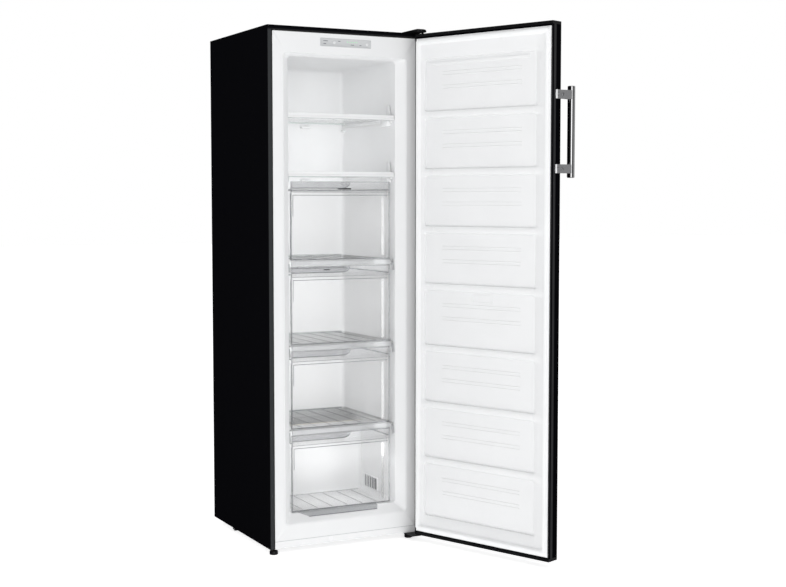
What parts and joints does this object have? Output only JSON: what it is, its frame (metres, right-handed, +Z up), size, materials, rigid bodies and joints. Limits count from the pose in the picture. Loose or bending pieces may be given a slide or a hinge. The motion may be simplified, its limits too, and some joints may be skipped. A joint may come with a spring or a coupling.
{
  "type": "upright freezer",
  "caption": "Tall upright freezer with a hinged insulated door, glass shelves, pull-out drawers and a bar handle, shown with its door open.",
  "frame": {"origin": "on the floor under the middle of the freezer's whole box at rest, with its door standing open; the cabinet's own centre line is at x -132.8 mm", "axes": "+Z up; the cabinet's front faces -Y and its door is hinged on the +X side"},
  "size_m": [0.8256, 1.0982, 1.751],
  "materials": {
    "black_steel": "satin",
    "white_liner": "satin",
    "white_trim": "gloss",
    "grey_panel": "satin",
    "button_white": "gloss",
    "foam": "matte",
    "galvanised_steel": "satin",
    "shelf_glass": "polished",
    "clear_plastic": "gloss",
    "circuit_board": "satin",
    "black_plastic": "satin",
    "gasket_white": "satin",
    "rubber_black": "matte",
    "compressor_black": "gloss",
    "copper_tube": "satin",
    "steel_tube": "satin",
    "handle_steel": "polished",
    "zinc_screw": "satin",
    "grey_trim": "satin"
  },
  "bodies": {
    "cabinet": {"back_panel": "galvanised_steel", "base_frame": "galvanised_steel", "bay_cover": "galvanised_steel", "bottom_hinge": "black_steel", "cabinet_foam": "foam", "cabinet_shell": "black_steel", "compressor": "compressor_black", "compressor_grommets": "rubber_black", "compressor_plate": "galvanised_steel", "condenser": "steel_tube", "control_board": "circuit_board", "control_panel": "grey_panel", "discharge_pipe": "copper_tube", "evaporator": "steel_tube", "filter_drier": "copper_tube", "glass_shelf_1": "shelf_glass", "glass_shelf_2": "shelf_glass", "glass_shelf_3": "shelf_glass", "glass_shelf_4": "shelf_glass", "glass_shelf_5": "shelf_glass", "hinge_screws": "zinc_screw", "inner_liner": "white_liner", "mains_inlet": "black_plastic", "plinth": "white_trim", "roller_brackets": "galvanised_steel", "shelf_trim_1": "white_trim", "shelf_trim_2": "white_trim", "shelf_trim_3": "white_trim", "shelf_trim_4": "white_trim", "shelf_trim_5": "white_trim", "starter_box": "black_plastic", "top_hinge": "black_steel", "top_hinge_cover": "black_plastic", "vent_grille": "white_trim"},
    "door": {"door_skin": "black_steel", "door_top_cap": "black_plastic", "door_bottom_cap": "black_plastic", "door_side_trims": "grey_trim", "door_liner": "white_liner", "door_foam": "foam", "hinge_bushes": "black_plastic", "door_gasket": "gasket_white", "handle_bar": "handle_steel", "upper_handle_bracket": "handle_steel", "lower_handle_bracket": "handle_steel", "handle_screws": "zinc_screw"},
    "drawer_1": {"drawer_bin_1": "clear_plastic", "drawer_front_1": "clear_plastic"},
    "drawer_2": {"drawer_bin_2": "clear_plastic", "drawer_front_2": "clear_plastic"},
    "drawer_3": {"drawer_bin_3": "clear_plastic", "drawer_front_3": "clear_plastic"},
    "drawer_4": {"drawer_bin_4": "clear_plastic", "drawer_front_4": "clear_plastic"},
    "temperature_button": {"temperature_button": "button_white"},
    "fast_freeze_button": {"fast_freeze_button": "button_white"},
    "front_left_foot": {"front_left_foot": "black_plastic"},
    "front_right_foot": {"front_right_foot": "black_plastic"},
    "rear_left_roller": {"rear_left_roller": "black_plastic"},
    "rear_right_roller": {"rear_right_roller": "black_plastic"}
  },
  "joints": [
    {"name": "door_hinge", "type": "hinge", "parent": "cabinet", "child": "door", "pos_m": [0.13723, -0.0279, 0.023], "axis": [0, 0, 1], "range_deg": [-111.4, 22]},
    {"name": "drawer_1_slide", "type": "slide", "parent": "cabinet", "child": "drawer_1", "axis": [0, -1, 0], "range_m": [0, 0.3]},
    {"name": "drawer_2_slide", "type": "slide", "parent": "cabinet", "child": "drawer_2", "axis": [0, -1, 0], "range_m": [0, 0.3]},
    {"name": "drawer_3_slide", "type": "slide", "parent": "cabinet", "child": "drawer_3", "axis": [0, -1, 0], "range_m": [0, 0.3]},
    {"name": "drawer_4_slide", "type": "slide", "parent": "cabinet", "child": "drawer_4", "axis": [0, -1, 0], "range_m": [0, 0.18]},
    {"name": "temperature_button_press", "type": "slide", "parent": "cabinet", "child": "temperature_button", "axis": [0, 1, 0], "range_m": [0, 0.0012], "stiffness_N_per_m": 900},
    {"name": "fast_freeze_button_press", "type": "slide", "parent": "cabinet", "child": "fast_freeze_button", "axis": [0, 1, 0], "range_m": [0, 0.0012], "stiffness_N_per_m": 900},
    {"name": "front_left_foot_turn", "type": "hinge", "parent": "cabinet", "child": "front_left_foot", "pos_m": [-0.39277, 0.0271, 0], "axis": [0, 0, 1], "continuous": true},
    {"name": "front_right_foot_turn", "type": "hinge", "parent": "cabinet", "child": "front_right_foot", "pos_m": [0.11323, 0.0271, 0], "axis": [0, 0, 1], "continuous": true},
    {"name": "rear_left_roller_roll", "type": "hinge", "parent": "cabinet", "child": "rear_left_roller", "pos_m": [-0.38477, 0.3921, 0.0105], "axis": [1, 0, 0], "continuous": true},
    {"name": "rear_right_roller_roll", "type": "hinge", "parent": "cabinet", "child": "rear_right_roller", "pos_m": [0.11923, 0.3921, 0.0105], "axis": [1, 0, 0], "continuous": true}
  ]
}
